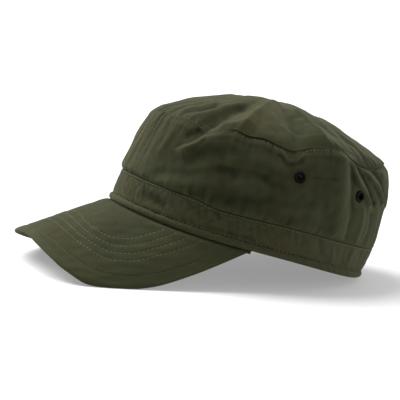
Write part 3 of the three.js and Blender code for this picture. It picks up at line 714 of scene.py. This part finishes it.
def cut_holes(obj, hand):
    """Opens the cloth behind each eyelet."""
    for place_deg in EYELETS.values():
        bpy.ops.mesh.primitive_cylinder_add(vertices=40, radius=HOLE_RADIUS, depth=HOLE_DEPTH)
        tool = bpy.context.object
        tool.matrix_world = standing(*eyelet_axis(hand, place_deg))
        cut = obj.modifiers.new("hole", "BOOLEAN")
        cut.operation = "DIFFERENCE"
        cut.solver = "EXACT"
        cut.object = tool
        bpy.context.view_layer.objects.active = obj
        bpy.context.view_layer.update()
        with bpy.context.temp_override(object=obj, active_object=obj, selected_objects=[obj]):
            bpy.ops.object.modifier_apply(modifier="hole")
        bpy.data.objects.remove(tool, do_unlink=True)


def eyelet_axis(hand, place_deg):
    """An eyelet's middle on the cloth and the direction that it faces, in the row frame."""
    t = hand * math.radians(place_deg)
    foot = float(band_height(t)) + float(rim_z(t)) + GAP
    r = (EYELET_HEIGHT - foot) / (float(seam_z(t)) - foot)
    e = 0.035
    p = side_xyz(np.array([t]), np.array([r]))
    du = side_xyz(np.array([t + e]), np.array([r])) - side_xyz(np.array([t - e]), np.array([r]))
    dv = side_xyz(np.array([t]), np.array([r + e])) - side_xyz(np.array([t]), np.array([r - e]))
    n = np.cross(du, dv)[0]
    n /= np.linalg.norm(n)
    if n[0] * hand < 0:
        n = -n
    a, b = to_row(p)[0], to_row(p + n)[0]
    d = b - a
    return a, d / np.linalg.norm(d)


def make_eyelet(name, hand, place_deg, node_name):
    """A turned metal ring with a slightly worn rim."""
    rings = len(EYELET_SECTION)
    verts, faces = [], []
    for i in range(EYELET_SIDES):
        a = 2 * math.pi * i / EYELET_SIDES
        rough = 0.93 + 0.02 * math.sin(5 * a) + 0.02 * math.sin(11 * a + 1)
        for r, h in EYELET_SECTION:
            rr = r * (rough if r > 4 else 1)
            verts.append((rr * math.cos(a) / 1000, rr * math.sin(a) / 1000, h / 1000))
    for i in range(EYELET_SIDES):
        k = (i + 1) % EYELET_SIDES
        for j in range(rings):
            after = (j + 1) % rings
            faces.append((i * rings + j, k * rings + j, k * rings + after, i * rings + after))
    mesh = bpy.data.meshes.new(name)
    spot = standing(*eyelet_axis(hand, place_deg))
    mesh.from_pydata([spot @ Vector(v) for v in verts], [], faces)
    return place(finish_mesh(name, mesh), black_metal, "eyelet_metal", node_name)


for hand, word in ((1, "left"), (-1, "right")):
    side = make_side(hand, f"crown_side_{word}_cloth")
    cut_holes(side, hand)
    place(side, crown_cloth, "cloth", f"crown_side_{word}")
    for spot, deg in EYELETS.items():
        make_eyelet(f"eyelet_{word}_{spot}_ring", hand, deg, f"eyelet_{word}_{spot}")
    for part, (start, end) in enumerate(((54, 80), (85, 178))):
        t = hand * np.radians(np.linspace(start, end, 500))
        tall = seam_z(t) - band_height(t) - rim_z(t) - GAP
        p, n = surface_path(side_xyz, t, 1 - stitch_drop(t) / tall)
        place(stitches(f"top_stitches_{word}_{part}", p, n, **SEAM_STITCH), dark_thread, "cloth")
    for which, base in (("front", 0.0), ("back", math.pi)):
        off = hand * (SEAM_ROW / SEAM_RADIUS)
        r = np.linspace(0.03, 0.94, 240)
        t = np.full_like(r, base * hand - off if which == "back" else off)
        p, n = surface_path(side_xyz, t, r)
        place(stitches(f"{which}_stitches_{word}", p, n, **UPRIGHT_STITCH), dark_thread, "cloth")


def full_ring(columns):
    """Angles all the way round, negative on the wearer's right."""
    t = np.linspace(0, 2 * np.pi, columns, endpoint=False)[:, None]
    return np.where(t > np.pi, t - 2 * np.pi, t)


def make_top():
    """The top: its outside, its edge at the seam, and its inside."""
    columns, rows, seam_rows = 560, 110, 40
    t = full_ring(columns)
    q = np.concatenate([np.linspace(0.006, 0.86, rows - seam_rows), np.linspace(0.865, 1.0, seam_rows)])
    q = q[None, :]
    outer = top_xyz(t, q)
    rim = seam_out(t) - 0.25 + 0.7 * seam_depth(t)
    low = seam_z(t) - 0.35 * (1 - seam_depth(t))
    edge = np.concatenate([
        oval(t, rim + 0.05, low + 0.5), oval(t, rim, low + 0.22),
        oval(t, seam_out(t) + 0.05, low + 0.1), oval(t, seam_out(t) - 1.6, low + 0.1)], 1)
    outer[:, -1] = (outer[:, -2] + edge[:, 0]) / 2
    inner = top_xyz(t, np.linspace(0.96, 0.006, 30)[None, :], TOP_WALL)
    loop = np.concatenate([outer, edge, inner], 1)
    n, m = loop.shape[:2]
    wear_and_painted_light = np.zeros((n, m))
    x, y = np.abs(outer[..., 0]) / B, outer[..., 1] / A
    # Painted shade: the back slope, from the back ridge on, is darker as though it faced away from the light.
    behind = 1 / (1 + np.exp(-(y + 0.14 - 0.25 * x) / 0.05)) / (1 + np.exp(-(x - 0.28) / 0.09))
    behind = behind * (0.85 + 0.15 * np.tanh(outer[..., 0] / 25))
    near_seam = np.exp(-(((degrees(t) - 72) / 30) ** 2)) * q**3
    # The top's tone: crests lighter, partly wear and partly painted highlight; hollows darker as painted
    # shade; lighter towards the seam at the sides.
    wear_and_painted_light[:, :rows] = crest(outer, True) + 0.2 + 0.6 * near_seam - 1.05 * behind
    uv = loop[..., :2].copy()
    caps = [[i * m for i in range(n)], [i * m + m - 1 for i in range(n)]]
    return grid_object("crown_top_cloth", loop, uv, wear_and_painted_light, True, False, caps)


top = place(make_top(), crown_cloth, "cloth", "crown_top")
for part, (start, end) in enumerate(((-42, 0), (0, 42))):
    t = np.radians(np.linspace(start, end, 350))
    p, n = surface_path(top_xyz, t, np.full_like(t, 0.988))
    place(stitches(f"top_edge_stitches_{part}", p, n, **TOP_EDGE_STITCH), dark_thread, "cloth")

# The band's section, from its foot up the outside and down the inside: swell, and share of its height.
BAND_SECTION = [
    (-1.6, 0.02), (-0.9, -0.015), (-0.1, -0.005), (0.6, 0.01), (1.15, 0.035), (1.5, 0.07), (1.62, 0.105),
    (1.55, 0.14), (1.25, 0.17), (0.8, 0.19), (0.3, 0.202), (-0.15, 0.213), (-0.25, 0.225), (0.0, 0.24),
    (0.35, 0.262), (0.55, 0.3), (0.6, 0.37), (0.6, 0.44), (0.58, 0.51), (0.55, 0.58), (0.5, 0.65),
    (0.46, 0.72), (0.44, 0.79), (0.44, 0.85), (0.4, 0.89), (0.26, 0.91), (0.24, 0.925), (0.36, 0.945),
    (0.4, 0.965), (0.32, 0.985), (0.05, 0.997), (-0.5, 1.0), (-2.1, 1.0), (-2.2, 0.95), (-2.2, 0.7),
    (-2.2, 0.45), (-2.2, 0.2), (-2.15, 0.06),
]
# The row of the section where the inside starts, and the rows that show on the outside.
BAND_INSIDE = 31
BAND_OUTSIDE = slice(2, 31)


def make_band():
    """The band, with the rolled hem at its foot."""
    t = full_ring(760)
    out = np.array([s[0] for s in BAND_SECTION])[None, :]
    share = np.array([s[1] for s in BAND_SECTION])[None, :]
    inside = (np.arange(len(BAND_SECTION)) >= BAND_INSIDE)[None, :] * 1.0
    loop = band_xyz(t, out, share, inside)
    n, m = loop.shape[:2]
    wear_and_painted_light = np.zeros((n, m))
    deg = degrees(t)
    # Painted light on the band: a painted highlight on the back round 120 degrees, a little lighter round 75
    # degrees and darker round 16 degrees; crests as wear and painted highlight.
    painted_light_zone = 0.15 * hump(deg - 75, 22) + 1.0 * hump(deg - 120, 16) - 0.4 * hump(deg - 16, 26)
    wear_and_painted_light[:, BAND_OUTSIDE] = crest(loop[:, BAND_OUTSIDE], True) * 0.7 + painted_light_zone
    uv = np.stack([np.broadcast_to(arc(np.linspace(0, 2 * np.pi, n))[:, None], (n, m)),
                   np.broadcast_to(share * BAND, (n, m))], -1)
    return grid_object("band_cloth_body", loop, uv, wear_and_painted_light, True, True)


band = place(make_band(), band_cloth, "band_cloth", "band")


def band_row(name, share, out, stitch):
    """A row of stitches all round the band."""
    t = np.linspace(-math.pi + 0.01, math.pi - 0.01, 1800)

    def surface(a, b):
        return band_xyz(a, out + np.zeros_like(a), b, 0.0)
    p, n = surface_path(surface, t, np.full_like(t, share))
    place(stitches(name, p, n, **stitch), dark_thread, "band_cloth")


band_row("band_top_stitches", 0.955, 0.38, BAND_STITCH)
band_row("hem_stitches", 0.236, 0.0, HEM_STITCH)


def peak_rows():
    """The stitch rows as smooth paths from side to side: angle in degrees, and distance from the root."""
    rows = {}
    out = np.array(PEAK_ROW_OUT, float)
    inn = np.array(PEAK_ROW_IN, float)
    for k, share in enumerate((0.0, 1 / 3, 2 / 3, 1.0)):
        rows[f"peak_stitches_{k + 1}"] = inn * (1 - share) + out * share
    rows["peak_edge_stitches"] = np.array(PEAK_ROW_EDGE, float)
    made = {}
    for name, half in rows.items():
        other = half[::-1][1:] * np.array([-1, 1])
        both = np.concatenate([half, other])
        k = np.linspace(0, len(both) - 1, 500)
        raw = np.stack([np.interp(k, np.arange(len(both)), both[:, c]) for c in (0, 1)], 1)
        reach = 17
        pad = np.concatenate([raw[:1].repeat(reach, 0), raw, raw[-1:].repeat(reach, 0)])
        kernel = np.hanning(2 * reach + 1)
        kernel /= kernel.sum()
        made[name] = np.stack([np.convolve(pad[:, c], kernel, "valid") for c in (0, 1)], 1)
    return made


ROWS = peak_rows()


def peak_relief(t, w, rim):
    """The small swell of the peak's cloth between its stitch rows. rim is how far its edge is, in mm."""
    p = np.stack(np.broadcast_arrays(np.degrees(t) * A * math.pi / 180, w), -1).reshape(-1, 2)
    relief = np.zeros(len(p))
    for name, row in ROWS.items():
        line = np.stack([row[:, 0] * DEGREE, row[:, 1]], 1)[::4]
        d = np.full(len(p), 1e9)
        for a, b in zip(line, line[1:]):
            e = b - a
            k = np.clip(((p - a) @ e) / (e @ e), 0, 1)
            d = np.minimum(d, np.linalg.norm(p - a - k[:, None] * e, axis=1))
        deep = 0.32 if name != "peak_edge_stitches" else 0.4
        relief -= deep * hump(d, 0.9)
    relief = relief.reshape(np.broadcast(t, w).shape)
    relief = relief + 0.12 * ripple(t * A, w, 51, 16) + 0.3 * hump(rim - 5.5, 3.5)
    return relief * np.clip(w / 6, 0, 1) + 0.8 * hump(w - 6, 5) - 2.2 * hump(w, 1.5)


def make_peak():
    """The peak: its root, its top face, its rolled edge and its under face."""
    half, top_rows, under_rows = 130, 64, 26
    rows = np.array([(a * WRAP * A, r * PEAK) for a, r in EDGE])
    k = np.linspace(0, len(rows) - 1, 1200)
    dense = np.stack([follow([(i, *row) for i, row in enumerate(rows)], c + 1, k) for c in (0, 1)], 1)
    run = np.r_[0, np.cumsum(np.linalg.norm(np.diff(dense, axis=0), axis=1))]
    s = np.linspace(0, run[-1], half + 1)
    tip = np.stack([np.interp(s, run, dense[:, c]) for c in (0, 1)], 1)
    root = np.stack([WRAP * A * (1 - np.linspace(0, 1, half + 1)), np.zeros(half + 1)], 1)
    tip = np.concatenate([tip, (tip * [-1, 1])[::-1][1:]])
    root = np.concatenate([root, (root * [-1, 1])[::-1][1:]])
    gap = np.linalg.norm(tip - root, axis=1)[:, None]
    roll = np.minimum(1.6 / gap, 0.4)

    def at(f, depth, swell=False):
        """Points and flat places a share f of the way from the root to the edge."""
        f = np.broadcast_to(f, (len(tip), np.shape(f)[-1])) if np.ndim(f) else np.full((len(tip), 1), f)
        u = root[:, :1] + (tip[:, :1] - root[:, :1]) * f
        w = root[:, 1:] + (tip[:, 1:] - root[:, 1:]) * f + 0.5 * (1 - f)
        t = u / A
        base = peak_xyz(t, w, depth * np.ones_like(w))
        if swell:
            rim = (1 - f) * gap
            lift = peak_relief(t, w, rim) * np.clip(rim / 1.5, 0, 1)
            normal = peak_xyz(t, w, -1.0 * np.ones_like(w)) - peak_xyz(t, w, 0.0 * np.ones_like(w))
            base = base + normal * lift[..., None]
        return base, np.stack([u, w], -1)

    parts, flats = [], []
    angle = root[:, :1] / A
    under = rim_z(angle) - GAP
    lip = np.concatenate([oval(angle, -2.2, under), oval(angle, -0.2, under)], 1)
    parts.append(lip)
    flats.append(np.stack(np.broadcast_arrays(root[:, :1], np.array([[-2.5, -0.5]])), -1))
    f = np.linspace(0.01, 1, top_rows)[None, :] * (1 - roll)
    p, flat = at(f, 0.0, True)
    parts.append(p)
    flats.append(flat)
    for turn in np.radians([-60, -30, 0, 30, 60]):
        p, flat = at(1 - roll * (1 - math.cos(turn)), PEAK_WALL / 2 * (1 + math.sin(turn)))
        parts.append(p)
        flats.append(flat)
    f = np.linspace(1, 0.03, under_rows)[None, :] * (1 - roll)
    p, flat = at(f, PEAK_WALL)
    parts.append(p)
    flats.append(flat)
    parts.append(oval(angle, -2.6, under - 2.7))
    flats.append(np.stack(np.broadcast_arrays(root[:, :1], np.array([[-4.0]])), -1))
    loop = np.concatenate(parts, 1)
    uv = np.concatenate(flats, 1)
    n, m = loop.shape[:2]
    # Painted light on the peak: its sides lighter as painted bounce light from the floor; the outer part and
    # the rolled edge lighter, partly wear and partly painted highlight.
    sides = np.clip((np.abs(uv[..., 0]) / A - 0.6) / 0.5, 0, 1)
    wear_and_painted_light = 0.75 * sides + 0.25 * np.clip((uv[..., 1] - 50) / 25, 0, 1) * (1 - sides) - 0.22
    edge = lip.shape[1] + top_rows
    wear_and_painted_light[:, edge:edge + 6] += 0.55
    wear_and_painted_light[:, edge - 4:edge] += 0.25
    caps = [list(range(m)), list(range((n - 1) * m, n * m))]
    return grid_object("peak_cloth_body", loop, uv, wear_and_painted_light, False, True, caps)


place(make_peak(), peak_cloth, "cloth", "peak")
for name, row in ROWS.items():
    t, w = np.radians(row[:, 0]), row[:, 1]
    n = peak_xyz(t, w, np.full_like(t, -1.0)) - peak_xyz(t, w, np.zeros_like(t))
    p = peak_xyz(t, w, np.zeros_like(t)) + n * (peak_relief(t, w, 14.0) + 0.05)[:, None]
    if name == "peak_edge_stitches":
        place(stitches(name, p, n, **PEAK_EDGE_STITCH), dark_thread, "cloth")
    else:
        place(stitches(name, p, n, **PEAK_STITCH), thread, "cloth")

# The pale floor glows faintly, so that it reads as white.
floor_mat = plain_material(
    "floor", (0.5, 0.5, 0.5), 0.9, scale=3.0, spread=0.02,
    more={"Emission Color": (1, 1, 1, 1), "Emission Strength": 0.3})
bpy.ops.mesh.primitive_plane_add(size=30, location=(-4, 0, -0.0002))
floor = bpy.context.object
floor.name = "floor"
floor.data.materials.append(floor_mat)

# Broad, even lights: the direction that each comes from, its strength and its spread in degrees.
LIGHTS = {
    "overhead": ((-0.5, -0.45, 1.0), 5.4, 44),
    "front": ((-0.5, -1.5, 0.75), 0.15, 50),
    "back": ((0.4, 1.4, 0.06), 2.3, 30),
}
for name, (source, strength, spread) in LIGHTS.items():
    sun = bpy.data.lights.new(name, "SUN")
    sun.energy = strength
    sun.angle = math.radians(spread)
    lamp = bpy.data.objects.new(name, sun)
    lamp.location = Vector(source) * 3
    lamp.rotation_euler = Vector(source).to_track_quat("Z", "Y").to_euler()
    bpy.context.scene.collection.objects.link(lamp)

# The studio's walls are bright on one side and dim on the other.
DIM_SIDE = (0.92, -0.38, 0.0)
world = bpy.context.scene.world or bpy.data.worlds.new("studio")
bpy.context.scene.world = world
world.use_nodes = True
sky = world.node_tree
facing = node(sky, "ShaderNodeTexCoord").outputs["Generated"]
aim = node(sky, "ShaderNodeVectorMath", {0: facing, 1: DIM_SIDE}, operation="DOT_PRODUCT").outputs["Value"]
feeds = {"Value": aim, "From Min": -0.6, "From Max": 0.9, "To Min": 0.95, "To Max": 0.08}
dim = node(sky, "ShaderNodeMapRange", feeds, interpolation_type="SMOOTHSTEP").outputs["Result"]
feed(sky, sky.nodes["Background"], {"Color": (1, 1, 1, 1), "Strength": dim})

# The camera stands at the photograph's angle to the cap. It was fitted in a frame where the cap leans back
# by FIT_LEAN: its direction, its distance in mm, pixels a mm there, and the pixel of that frame's origin.
IMAGE, SENSOR = 400, 36
FIT_LEAN = math.radians(20.053)
AZ, EL, DIST, SCALE = math.radians(67.5), math.radians(12.438), 1200.0, 1.296
ORIGIN_X, ORIGIN_Y = 236.691, 237.318


def unlean(v):
    """From the fitted frame to the row frame."""
    a = LEAN - FIT_LEAN
    c, s = math.cos(a), math.sin(a)
    return Vector((v[0], v[1] * c + v[2] * s, -v[1] * s + v[2] * c))


to_camera = Vector((math.sin(AZ) * math.cos(EL), -math.cos(AZ) * math.cos(EL), math.sin(EL)))
ahead = -to_camera
right = ahead.cross(Vector((0, 0, 1))).normalized()
up = right.cross(ahead)
focal = SCALE * DIST
ray = (ahead * focal - right * (ORIGIN_X - IMAGE / 2) + up * (ORIGIN_Y - IMAGE / 2)).normalized()
ray_right = ray.cross(up).normalized()
ray_up = ray_right.cross(ray)
turn = Matrix([unlean(v) for v in (ray_right, ray_up, -ray)]).transposed().to_4x4()
eye = (unlean(to_camera * DIST) + Vector(SETTLE)) / 1000
cam_data = bpy.data.cameras.new("photo")
cam_data.sensor_width = SENSOR
cam_data.lens = SENSOR * focal / IMAGE
camera = bpy.data.objects.new("photo", cam_data)
camera.matrix_world = Matrix.Translation(eye) @ turn
bpy.context.scene.collection.objects.link(camera)
bpy.context.scene.camera = camera
bpy.context.scene.view_settings.view_transform = "Standard"
